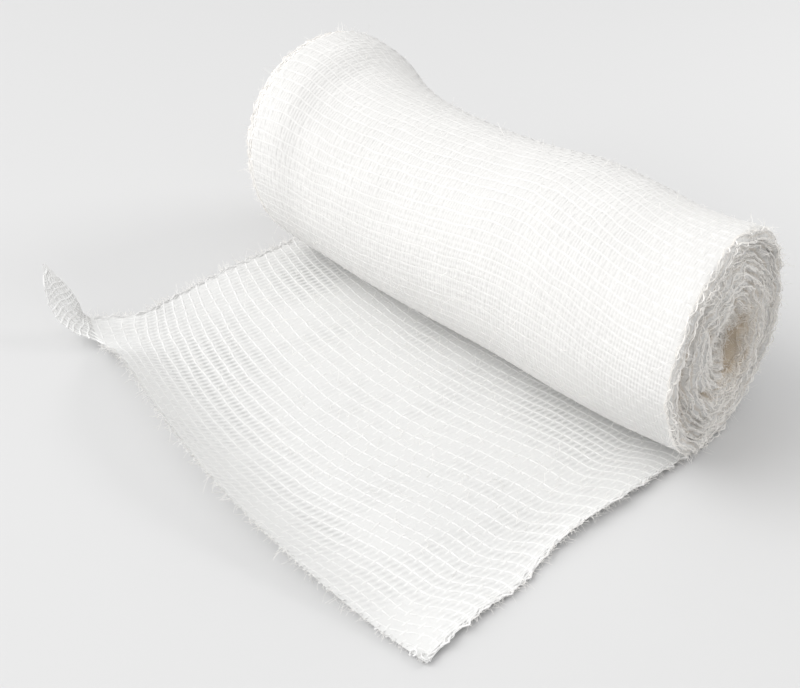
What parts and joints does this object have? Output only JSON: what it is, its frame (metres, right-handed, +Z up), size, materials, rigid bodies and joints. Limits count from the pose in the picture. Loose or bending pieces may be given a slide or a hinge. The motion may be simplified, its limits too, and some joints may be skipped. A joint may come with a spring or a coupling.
{
  "type": "gauze bandage roll",
  "caption": "Soft roll of open-weave cotton gauze bandage, lying on its loose end, which spreads out flat in front with a raised cut edge and a turned-up corner.",
  "frame": {"origin": "middle of the base of the whole object's box, on the surface it lies on", "axes": "+X along the roll's axis towards its open wound end, -Y towards the loose end's cut edge, +Z up"},
  "size_m": [0.1122, 0.0942, 0.0437],
  "materials": {
    "gauze_roll": "matte bleached cotton gauze, wound in many layers",
    "gauze_sheet": "matte bleached cotton gauze, one open layer that shows the surface below"
  },
  "bodies": {
    "root": {"roll": "gauze_roll", "loose_end": "gauze_sheet"}
  },
  "joints": []
}
